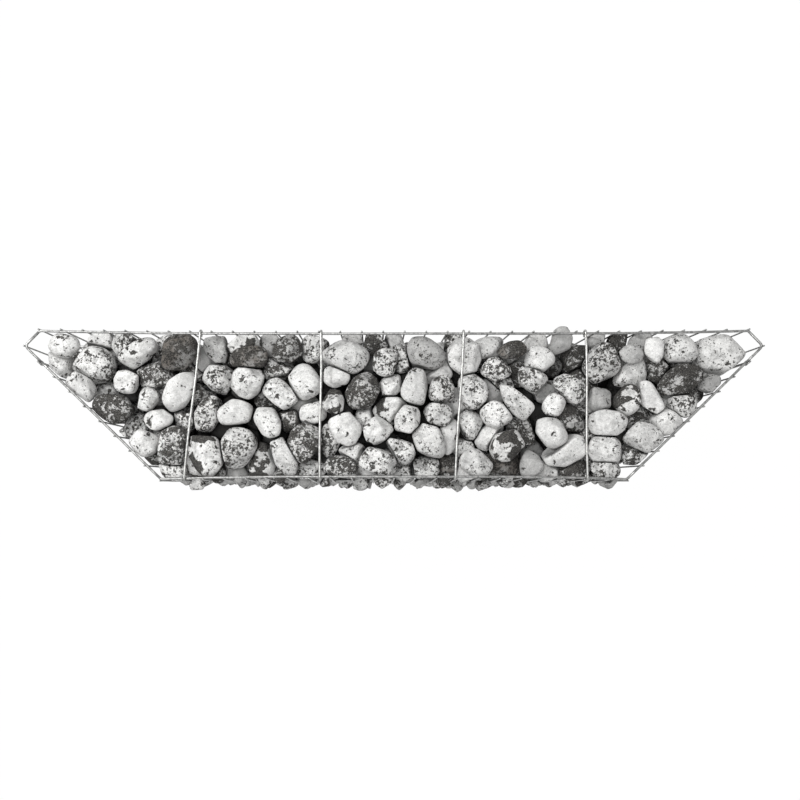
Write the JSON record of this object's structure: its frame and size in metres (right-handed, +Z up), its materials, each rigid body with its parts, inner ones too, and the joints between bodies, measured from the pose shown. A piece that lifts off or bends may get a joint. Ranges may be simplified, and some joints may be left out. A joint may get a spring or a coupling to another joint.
{
  "type": "gabion wall",
  "caption": "Free-standing stone-filled gabion wall block with mitred ends: welded wire mesh sides, open top, hooked cross ties and loose pebbles.",
  "frame": {"origin": "on the ground under the middle of the wall's length and depth", "axes": "+X along the wall's long back, +Y from the short front to the long back, +Z up"},
  "size_m": [1.7484, 0.3866, 0.8293],
  "materials": {
    "zinc_wire": "dull galvanised wire",
    "tie_wire": "bright galvanised wire",
    "pebbles": "speckled grey and white rounded granite pebbles, dry"
  },
  "bodies": {
    "root": {"front_mesh": "zinc_wire", "left_end_mesh": "zinc_wire", "right_end_mesh": "zinc_wire", "back_mesh": "zinc_wire", "left_tip_mesh": "zinc_wire", "right_tip_mesh": "zinc_wire", "left_return_mesh": "zinc_wire", "right_return_mesh": "zinc_wire", "left_seam_rings": "zinc_wire", "right_seam_rings": "zinc_wire", "rim_tie_1": "tie_wire", "rim_tie_2": "tie_wire", "rim_tie_3": "tie_wire", "rim_tie_4": "tie_wire", "upper_tie_1": "tie_wire", "upper_tie_2": "tie_wire", "upper_tie_3": "tie_wire", "upper_tie_4": "tie_wire", "lower_tie_1": "tie_wire", "lower_tie_2": "tie_wire", "lower_tie_3": "tie_wire", "lower_tie_4": "tie_wire", "stone_bay_1": "pebbles", "stone_bay_2": "pebbles", "stone_bay_3": "pebbles", "stone_bay_4": "pebbles", "stone_bay_5": "pebbles"}
  },
  "joints": []
}
